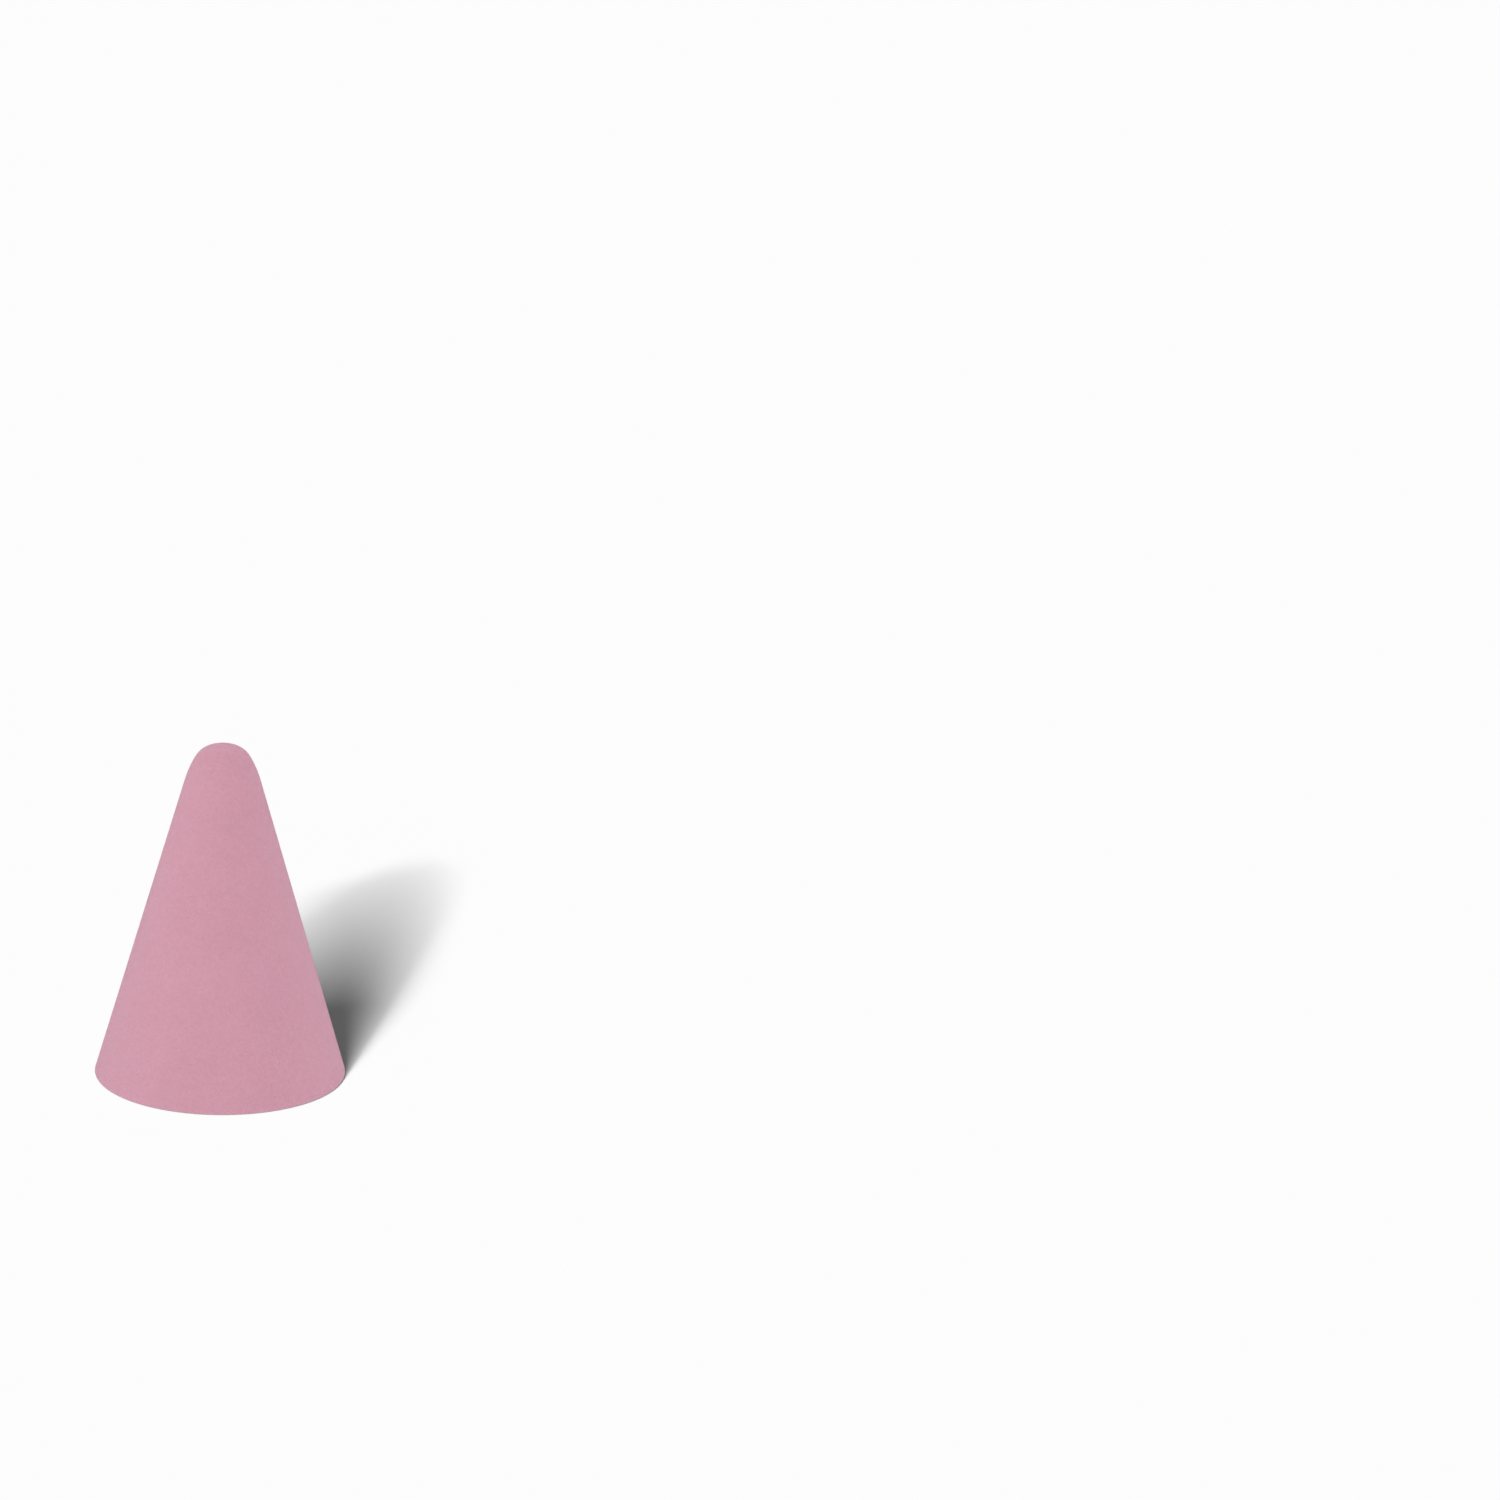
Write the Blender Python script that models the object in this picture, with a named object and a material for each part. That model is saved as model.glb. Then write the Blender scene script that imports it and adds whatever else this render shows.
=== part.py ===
"""Slip-on stylus cap.

One soft moulding: a thin-walled hollow cone with a rounded, closed tip and an
open base. It stands on its rim. The origin is the centre of the rim plane and
+Z runs up the axis to the tip.
"""

from math import acos, atan2, cos, hypot, pi, radians, sin

import bmesh
import bpy
from mathutils import Vector

# ---------------------------------------------------------------- dimensions
MM = 0.001

OUTER_D = 6.9  # largest diameter, at the rim's outer edge
HEIGHT = 9.5  # rim plane to the top of the tip
CROWN_R = 1.2  # outer radius over the top of the tip
SHOULDER_R = 0.66  # outer radius where the tip turns down
BLEND_R = 3.0  # outer radius where the tip runs out into the straight side
CROWN_END = radians(70)  # rise of the surface's normal where crown and shoulder meet
SHOULDER_END = radians(30)  # the same, where shoulder and blend meet
WALL = 0.45  # thickness of the side, square to its surface
TIP_WALL = 0.9  # thickness at the tip, where the cap wears
RIM_EDGE_OUT = 0.03  # radius of the rim's outer edge
RIM_EDGE_IN = 0.08  # radius of the rim's inner edge, the lead-in

SEGMENTS = 40  # round the axis
CROWN_STEPS = 2  # along each arc of the tip
SHOULDER_STEPS = 4
BLEND_STEPS = 3
SOCKET_TIP_STEPS = 4  # along the arc at the socket's end
EDGE_STEPS = 3  # along each rim edge

COLOUR = (0.63, 0.33, 0.415, 1.0)  # dusty pink
ROUGHNESS = 0.55


# ------------------------------------------------------------------- profile
def arc(centre, radius, start, end, steps):
    """Points on an arc in the (r, z) half-plane, both ends included."""
    out = []
    for i in range(steps + 1):
        t = start + (end - start) * i / steps
        out.append((centre[0] + radius * cos(t), centre[1] + radius * sin(t)))
    return out


def beyond(point, distance, angle):
    """The point at a distance from another, in a direction given by its rise."""
    return (point[0] + distance * cos(angle), point[1] + distance * sin(angle))


def profile():
    """The wall's section: from the outer pole down the side, round the rim and up to the socket's end."""
    # The tip is three arcs, each tangent to the next. The straight side is the outer tangent of
    # two circles, the blend's and the rim edge's. Its outward normal rises at half_angle.
    crown_c = (0.0, HEIGHT - CROWN_R)
    shoulder_c = beyond(crown_c, CROWN_R - SHOULDER_R, CROWN_END)
    blend_c = beyond(shoulder_c, SHOULDER_R - BLEND_R, SHOULDER_END)
    edge_c = (OUTER_D / 2 - RIM_EDGE_OUT, RIM_EDGE_OUT)
    run, rise = edge_c[0] - blend_c[0], blend_c[1] - edge_c[1]
    half_angle = acos((BLEND_R - RIM_EDGE_OUT) / hypot(run, rise)) - atan2(rise, run)
    s, c = sin(half_angle), cos(half_angle)

    tip = arc(crown_c, CROWN_R, pi / 2, CROWN_END, CROWN_STEPS)[:-1]
    tip += arc(shoulder_c, SHOULDER_R, CROWN_END, SHOULDER_END, SHOULDER_STEPS)[:-1]
    tip += arc(blend_c, BLEND_R, SHOULDER_END, half_angle, BLEND_STEPS)
    tip[0] = (0.0, HEIGHT)
    edge_out = arc(edge_c, RIM_EDGE_OUT, half_angle, -pi / 2, EDGE_STEPS)

    # The socket's side is the outer side moved inwards by the wall. side_gap is its distance
    # from the origin, square to it, and mouth_r is where it would meet the rim plane.
    side_gap = BLEND_R + blend_c[0] * c + blend_c[1] * s - WALL
    mouth_r = side_gap / c
    lip_c = (mouth_r + RIM_EDGE_IN * (1 - s) / c, RIM_EDGE_IN)
    edge_in = arc(lip_c, RIM_EDGE_IN, -pi / 2, half_angle - pi, EDGE_STEPS)

    # A round end, tangent to the socket's side, leaves TIP_WALL of rubber under the tip.
    end_top = HEIGHT - TIP_WALL
    end_z = (end_top - side_gap) / (1 - s)
    end = arc((0.0, end_z), end_top - end_z, half_angle, pi / 2, SOCKET_TIP_STEPS)
    end[-1] = (0.0, end_top)

    return tip + edge_out + edge_in + end


# --------------------------------------------------------------------- piece
def turned(name, section, segments):
    """A closed solid of revolution about +Z from a section that starts and ends on the axis."""
    bm = bmesh.new()
    verts = [bm.verts.new((r * MM, 0.0, z * MM)) for r, z in section]
    edges = [bm.edges.new(pair) for pair in zip(verts[:-1], verts[1:])]
    bmesh.ops.spin(
        bm,
        geom=verts + edges,
        cent=Vector((0, 0, 0)),
        axis=Vector((0, 0, 1)),
        angle=2 * pi,
        steps=segments,
        use_merge=True,
    )
    bmesh.ops.remove_doubles(bm, verts=bm.verts[:], dist=1e-7)
    bmesh.ops.recalc_face_normals(bm, faces=bm.faces[:])
    mesh = bpy.data.meshes.new(name)
    bm.to_mesh(mesh)
    bm.free()
    mesh.shade_smooth()
    mesh.set_sharp_from_angle(angle=pi / 4)
    piece = bpy.data.objects.new(name, mesh)
    bpy.context.scene.collection.objects.link(piece)
    return piece


def silicone():
    material = bpy.data.materials.new("silicone_pink")
    material.use_nodes = True
    shader = material.node_tree.nodes["Principled BSDF"]
    shader.inputs["Base Color"].default_value = COLOUR
    shader.inputs["Roughness"].default_value = ROUGHNESS
    shader.inputs["Metallic"].default_value = 0.0
    material.diffuse_color = COLOUR
    return material


def main():
    for old in list(bpy.data.objects):
        bpy.data.objects.remove(old, do_unlink=True)
    cap = turned("nib_cap", profile(), SEGMENTS)
    cap.data.materials.append(silicone())


main()
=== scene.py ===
"""Looks of the stylus nib cap: a fine turned mesh with a moulded silicone skin, on a plain pale floor."""

from math import acos, atan2, cos, degrees, hypot, pi, radians, sin

import bpy
import numpy as np
from mathutils import Matrix, Vector


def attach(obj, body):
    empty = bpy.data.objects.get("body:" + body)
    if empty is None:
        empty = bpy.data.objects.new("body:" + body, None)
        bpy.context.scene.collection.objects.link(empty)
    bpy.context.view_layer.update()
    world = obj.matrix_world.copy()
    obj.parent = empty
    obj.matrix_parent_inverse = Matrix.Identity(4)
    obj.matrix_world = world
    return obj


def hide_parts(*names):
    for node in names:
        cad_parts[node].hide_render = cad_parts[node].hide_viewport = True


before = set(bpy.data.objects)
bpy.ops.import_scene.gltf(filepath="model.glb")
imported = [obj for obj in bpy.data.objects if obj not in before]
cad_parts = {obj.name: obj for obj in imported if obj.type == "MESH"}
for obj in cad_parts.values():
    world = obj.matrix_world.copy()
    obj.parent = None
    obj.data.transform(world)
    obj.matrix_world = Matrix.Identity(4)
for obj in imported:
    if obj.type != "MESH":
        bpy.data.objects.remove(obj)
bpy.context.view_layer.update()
scene = bpy.context.scene
MM = 0.001

# --------------------------------------------------------------- dimensions
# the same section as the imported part, in millimetres
OUTER_D = 6.9
HEIGHT = 9.5
CROWN_R = 1.2
SHOULDER_R = 0.66
BLEND_R = 3.0
CROWN_END = radians(70)
SHOULDER_END = radians(30)
WALL = 0.45
TIP_WALL = 0.9
RIM_EDGE_OUT = 0.03
RIM_EDGE_IN = 0.08

SEGMENTS = 192
CROWN_STEPS = 12
SHOULDER_STEPS = 24
BLEND_STEPS = 16
SIDE_STEPS = 48
EDGE_STEPS = 8
RIM_STEPS = 4
END_STEPS = 20


# --------------------------------------------------------------------- mesh
def arc(centre, radius, start, end, steps):
    return [
        (
            centre[0] + radius * cos(start + (end - start) * i / steps),
            centre[1] + radius * sin(start + (end - start) * i / steps),
        )
        for i in range(steps + 1)
    ]


def line(a, b, steps):
    """Points strictly between a and b."""
    return [
        (a[0] + (b[0] - a[0]) * i / steps, a[1] + (b[1] - a[1]) * i / steps)
        for i in range(1, steps)
    ]


def beyond(point, distance, angle):
    return (point[0] + distance * cos(angle), point[1] + distance * sin(angle))


def section():
    """The wall's section from the outer pole to the socket's end, with the chart of each span for the unwrap."""
    crown_c = (0.0, HEIGHT - CROWN_R)
    shoulder_c = beyond(crown_c, CROWN_R - SHOULDER_R, CROWN_END)
    blend_c = beyond(shoulder_c, SHOULDER_R - BLEND_R, SHOULDER_END)
    edge_c = (OUTER_D / 2 - RIM_EDGE_OUT, RIM_EDGE_OUT)
    run, rise = edge_c[0] - blend_c[0], blend_c[1] - edge_c[1]
    slope = acos((BLEND_R - RIM_EDGE_OUT) / hypot(run, rise)) - atan2(rise, run)
    s, c = sin(slope), cos(slope)
    side_gap = BLEND_R + blend_c[0] * c + blend_c[1] * s - WALL
    lip_c = (side_gap / c + RIM_EDGE_IN * (1 - s) / c, RIM_EDGE_IN)
    end_top = HEIGHT - TIP_WALL
    end_z = (end_top - side_gap) / (1 - s)

    tip = arc(crown_c, CROWN_R, pi / 2, CROWN_END, CROWN_STEPS)[:-1]
    tip += arc(shoulder_c, SHOULDER_R, CROWN_END, SHOULDER_END, SHOULDER_STEPS)[:-1]
    tip += arc(blend_c, BLEND_R, SHOULDER_END, slope, BLEND_STEPS)
    edge_out = arc(edge_c, RIM_EDGE_OUT, slope, -pi / 2, EDGE_STEPS)
    edge_in = arc(lip_c, RIM_EDGE_IN, -pi / 2, slope - pi, EDGE_STEPS)
    end = arc((0.0, end_z), end_top - end_z, slope, pi / 2, END_STEPS)
    tip[0] = (0.0, HEIGHT)
    end[-1] = (0.0, end_top)

    points = list(tip)
    charts = ["tip"] * (len(tip) - 1)
    points += line(tip[-1], edge_out[0], SIDE_STEPS) + edge_out
    charts += ["side"] * SIDE_STEPS + ["rim"] * EDGE_STEPS
    points += line(edge_out[-1], edge_in[0], RIM_STEPS) + edge_in
    charts += ["rim"] * (RIM_STEPS + EDGE_STEPS)
    points += line(edge_in[-1], end[0], SIDE_STEPS) + end
    charts += ["socket"] * SIDE_STEPS + ["end"] * END_STEPS
    return points, charts, slope


def unwrap_places(points, charts, slope):
    """A flat place for each (span, end, turn), chart by chart: cones unroll to sectors, round ends to discs, the rim to a strip."""
    s = sin(slope)
    along = [0.0]
    for (r0, z0), (r1, z1) in zip(points[:-1], points[1:]):
        along.append(along[-1] + hypot(r1 - r0, z1 - z0))
    top = along[-1]
    scale = 1 / 19.6
    fan = 2 * pi * s  # a cone's unrolled angle

    def place(chart, k, t):
        r = points[k][0]
        if chart == "side":
            a = (t - 0.5) * fan
            return 0.5 + r / s * sin(a) * scale, 0.985 - (r / s * cos(a) - 2.2) * scale
        if chart == "socket":
            a = (t - 0.5) * fan
            q = 0.8 * scale
            return 0.36 + r / s * sin(a) * q, 0.425 - (r / s * cos(a) - 1.6) * q
        if chart in ("tip", "end"):
            d = along[k] if chart == "tip" else top - along[k]
            centre = (0.86, 0.36) if chart == "tip" else (0.87, 0.12)
            q = scale * (1.52 if chart == "tip" else 1.0)
            return (
                centre[0] + d * sin(2 * pi * t) * q,
                centre[1] + d * cos(2 * pi * t) * q,
            )
        first = charts.index("rim")
        return 0.012 + 0.976 * t, 0.012 + (along[k] - along[first]) * scale * 0.9

    return place


def turned(name):
    """The cap as one closed, evenly gridded mesh, with its unwrap."""
    points, charts, slope = section()
    place = unwrap_places(points, charts, slope)
    rings = len(points)
    verts = [(0.0, 0.0, points[0][1] * MM)]
    for r, z in points[1:-1]:
        for j in range(SEGMENTS):
            t = 2 * pi * j / SEGMENTS
            verts.append((r * cos(t) * MM, r * sin(t) * MM, z * MM))
    verts.append((0.0, 0.0, points[-1][1] * MM))
    last = len(verts) - 1

    def at(k, j):
        if k == 0:
            return 0
        if k == rings - 1:
            return last
        return 1 + (k - 1) * SEGMENTS + j % SEGMENTS

    faces, places = [], []
    for k in range(rings - 1):
        for j in range(SEGMENTS):
            a, b = j / SEGMENTS, (j + 1) / SEGMENTS
            chart = charts[k]
            # counter-clockwise seen from outside the rubber
            corner = [(k, j, a), (k + 1, j, a), (k + 1, j + 1, b), (k, j + 1, b)]
            if k == 0:
                corner = [(0, j, (a + b) / 2), (1, j, a), (1, j + 1, b)]
            elif k == rings - 2:
                corner = [(k, j, a), (k + 1, j, (a + b) / 2), (k, j + 1, b)]
            faces.append([at(q, w) for q, w, _ in corner])
            places += [place(chart, q, t) for q, _, t in corner]

    mesh = bpy.data.meshes.new(name)
    mesh.from_pydata(verts, [], faces)
    uv = mesh.uv_layers.new(name="OFBake")
    uv.uv.foreach_set("vector", np.array(places, np.float32).ravel())
    mesh.shade_smooth()
    mesh.validate()
    mesh.update()
    piece = bpy.data.objects.new(name, mesh)
    scene.collection.objects.link(piece)
    return piece


# ----------------------------------------------------------------- material
def silicone():
    """Matte moulded silicone: dusty pink with a slow drift and fine specks of pigment, and a dry, finely blasted skin."""
    m = bpy.data.materials.new("silicone_skin")
    m.use_nodes = True
    nodes, links = m.node_tree.nodes, m.node_tree.links
    nodes.clear()

    def add(kind, **values):
        n = nodes.new(kind)
        for key, value in values.items():
            setattr(n, key, value)
        return n

    out = add("ShaderNodeOutputMaterial")
    skin = add("ShaderNodeBsdfPrincipled")
    links.new(skin.outputs["BSDF"], out.inputs["Surface"])

    # coordinates in millimetres
    coord = add("ShaderNodeTexCoord")
    mm = add("ShaderNodeVectorMath", operation="SCALE")
    mm.inputs["Scale"].default_value = 1000.0
    links.new(coord.outputs["Object"], mm.inputs[0])

    def noise(scale, detail, rough):
        n = add("ShaderNodeTexNoise")
        n.inputs["Scale"].default_value = scale
        n.inputs["Detail"].default_value = detail
        n.inputs["Roughness"].default_value = rough
        links.new(mm.outputs["Vector"], n.inputs["Vector"])
        return n

    cloud = noise(0.55, 3.0, 0.5)  # slow drift of the pigment
    speck = noise(9.0, 3.0, 0.6)  # fine pigment specks
    grain = noise(17.0, 2.0, 0.6)  # the mould's blasted grain

    # colour: two close pinks, mixed by drift and specks, with painted shade that makes the grain's pits a little deeper
    def mixed(a, b, share):
        n = add("ShaderNodeMix", data_type="FLOAT")
        n.inputs[0].default_value = share
        links.new(a, n.inputs[2])
        links.new(b, n.inputs[3])
        return n.outputs[0]

    pigment = mixed(cloud.outputs["Fac"], speck.outputs["Fac"], 0.65)
    # painted shade: the grain's height is mixed into the colour so its pits come out darker, as if shade fell in them
    pigment_and_pit_shade = mixed(pigment, grain.outputs["Fac"], 0.4)
    tint = add("ShaderNodeValToRGB")
    tint.color_ramp.elements[0].position = 0.36
    tint.color_ramp.elements[0].color = (0.571, 0.300, 0.379, 1)
    tint.color_ramp.elements[1].position = 0.64
    tint.color_ramp.elements[1].color = (0.623, 0.336, 0.421, 1)
    links.new(pigment_and_pit_shade, tint.inputs["Fac"])
    links.new(tint.outputs["Color"], skin.inputs["Base Color"])

    # gloss: dry, a little uneven
    gloss = add("ShaderNodeMapRange")
    gloss.inputs["From Min"].default_value = 0.3
    gloss.inputs["From Max"].default_value = 0.7
    gloss.inputs["To Min"].default_value = 0.50
    gloss.inputs["To Max"].default_value = 0.60
    links.new(speck.outputs["Fac"], gloss.inputs["Value"])
    links.new(gloss.outputs["Result"], skin.inputs["Roughness"])

    bump = add("ShaderNodeBump")
    bump.inputs["Strength"].default_value = 0.7
    bump.inputs["Distance"].default_value = 0.00004
    links.new(grain.outputs["Fac"], bump.inputs["Height"])
    links.new(bump.outputs["Normal"], skin.inputs["Normal"])

    skin.inputs["Metallic"].default_value = 0.0
    skin.inputs["IOR"].default_value = 1.41
    skin.inputs["Specular IOR Level"].default_value = 0.2
    skin.inputs["Diffuse Roughness"].default_value = 0.8
    skin.inputs["Subsurface Weight"].default_value = 0.18
    skin.inputs["Subsurface Radius"].default_value = (1.0, 0.5, 0.55)
    skin.inputs["Subsurface Scale"].default_value = 0.00035
    return m


# ---------------------------------------------------------------------- cap
cap = turned("cap_skin")
cap.data.materials.append(silicone())
cap.visible_diffuse = False  # a neutral shadow, with no pink thrown on the floor
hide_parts("nib_cap")
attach(cap, "root")


# -------------------------------------------------------------------- stage
WHITE = 0.98  # how bright the open floor and the space behind it look
FLOOR_ALBEDO = 0.9
FILL = 0.12  # the room's own light
FLOOR_KEY = pi * (WHITE / FLOOR_ALBEDO - FILL)  # what the strip light adds on the floor


def floor():
    n, reach = 96, 2.0
    verts = [(0, 0, 0)] + [
        (reach * cos(2 * pi * i / n), reach * sin(2 * pi * i / n), 0) for i in range(n)
    ]
    mesh = bpy.data.meshes.new("floor")
    mesh.from_pydata(verts, [], [(0, 1 + i, 1 + (i + 1) % n) for i in range(n)])
    piece = bpy.data.objects.new("floor", mesh)
    piece.location.z = -0.000008
    scene.collection.objects.link(piece)
    m = bpy.data.materials.new("floor_white")
    m.use_nodes = True
    b = m.node_tree.nodes["Principled BSDF"]
    b.inputs["Base Color"].default_value = (FLOOR_ALBEDO, FLOOR_ALBEDO, FLOOR_ALBEDO, 1)
    b.inputs["Roughness"].default_value = 0.9
    b.inputs["Specular IOR Level"].default_value = 0.0
    mesh.materials.append(m)
    return piece


ground = floor()
ground.visible_glossy = False  # the cap's right edge mirrors no white

world = bpy.data.worlds.new("studio")
scene.world = world
world.use_nodes = True
wn, wl = world.node_tree.nodes, world.node_tree.links
wn.clear()
w_out = wn.new("ShaderNodeOutputWorld")
w_mix = wn.new("ShaderNodeMixShader")
w_path = wn.new("ShaderNodeLightPath")
w_fill = wn.new("ShaderNodeBackground")
w_seen = wn.new("ShaderNodeBackground")
w_fill.inputs["Strength"].default_value = FILL
w_fill.inputs["Color"].default_value = (1, 1, 1, 1)
w_seen.inputs["Strength"].default_value = WHITE
w_seen.inputs["Color"].default_value = (1, 1, 1, 1)
wl.new(w_path.outputs["Is Camera Ray"], w_mix.inputs["Fac"])
wl.new(w_fill.outputs[0], w_mix.inputs[1])
wl.new(w_seen.outputs[0], w_mix.inputs[2])
wl.new(w_mix.outputs[0], w_out.inputs["Surface"])


def group(name, *members):
    """A collection for light linking."""
    c = bpy.data.collections.new(name)
    for o in members:
        c.objects.link(o)
    return c


def sun(name, azimuth, elevation, strength, spread, receivers=None, colour=(1, 1, 1)):
    """A soft distant lamp; azimuth 0 is the camera's side, positive towards its right."""
    data = bpy.data.lights.new(name, "SUN")
    data.energy = strength
    data.angle = radians(spread)
    data.color = colour
    lamp = bpy.data.objects.new(name, data)
    scene.collection.objects.link(lamp)
    a, e = radians(azimuth), radians(elevation)
    towards = Vector((sin(a) * cos(e), -cos(a) * cos(e), sin(e)))
    lamp.rotation_mode = "QUATERNION"
    lamp.rotation_quaternion = towards.to_track_quat("Z", "Y")
    lamp.location = towards * 0.3
    if receivers is not None:
        lamp.light_linking.receiver_collection = receivers
    return lamp


on_floor = group("on_floor", ground)
on_cap = group("on_cap", cap)

# the floor's key is two rows of small lamps. The shadows of the first row share their right edge
# and differ in length, so that the shadow is deep at the cap and fades evenly towards its end.
# Those of the second row lie further left and widen that end.
TIP = 8.46  # height of the tip's widest ring, in millimetres
KEYS = []  # azimuth, elevation, spread, share
for i in range(12):
    reach = 16.6 - 0.96 * i  # how far that ring's shadow falls
    elevation = degrees(atan2(TIP, reach))
    fade = TIP / sin(radians(elevation)) ** 2 * radians(1)  # its shift for a degree
    KEYS.append((-17 - 0.68 * (elevation - 27), elevation, min(5, 1.5 / fade), 0.052))
for i in range(5):
    KEYS.append((-15 + 1.8 * i, 27 + 1.2 * i, 2.5, 0.118 - 0.021 * i))
for i, (azimuth, elevation, spread, share) in enumerate(KEYS):
    strength = FLOOR_KEY * share / sum(k[3] for k in KEYS) / sin(radians(elevation))
    sun("key_floor_%d" % i, azimuth, elevation, strength, spread, on_floor)

# soft lamps all round the cap, low enough to light its side and its tip alike; those on the right
# and behind give no shine, so the right edge keeps its deep colour
sun("front_cap", 0, 29, 1.42, 70, on_cap)
sun("left_cap", -76, 29, 1.55, 70, on_cap)
sun("back_left_cap", -140, 29, 0.24, 70, on_cap)
sun("right_cap", 64, 29, 1.03, 70, on_cap).visible_glossy = False
sun("back_right_cap", 135, 29, 0.83, 70, on_cap).visible_glossy = False
sun("back_cap", 180, 29, 1.21, 40, on_cap).visible_glossy = False


# ------------------------------------------------------------------- camera
def camera():
    """The photograph's view: its 1500-pixel square frame, focal length and tilt, with the cap's base centre at BASE_PX."""
    frame_px, focal_px = 1500.0, 9290.0
    tilt, roll, reach = radians(18.286), radians(1.592), 0.25661
    base_px = (220.07, 1071.31)
    ahead = Vector((0, cos(tilt), -sin(tilt)))
    right0, up0 = Vector((1, 0, 0)), Vector((0, sin(tilt), cos(tilt)))
    right = right0 * cos(roll) + up0 * sin(roll)
    up = up0 * cos(roll) - right0 * sin(roll)
    x = (base_px[0] - frame_px / 2) / focal_px * reach
    y = -(base_px[1] - frame_px / 2) / focal_px * reach
    spot = -(right * x + up * y + ahead * reach)
    data = bpy.data.cameras.new("camera")
    data.sensor_width = 36.0
    data.lens = focal_px / frame_px * 36.0
    data.clip_start, data.clip_end = 0.005, 20.0
    cam = bpy.data.objects.new("camera", data)
    scene.collection.objects.link(cam)
    m = Matrix.Identity(4)
    for i in range(3):
        m[i][0], m[i][1], m[i][2], m[i][3] = right[i], up[i], -ahead[i], spot[i]
    cam.matrix_world = m
    return cam


scene.camera = camera()
scene.view_settings.view_transform = "Standard"
scene.view_settings.look = "None"
scene.view_settings.exposure = 0.0
scene.view_settings.gamma = 1.0
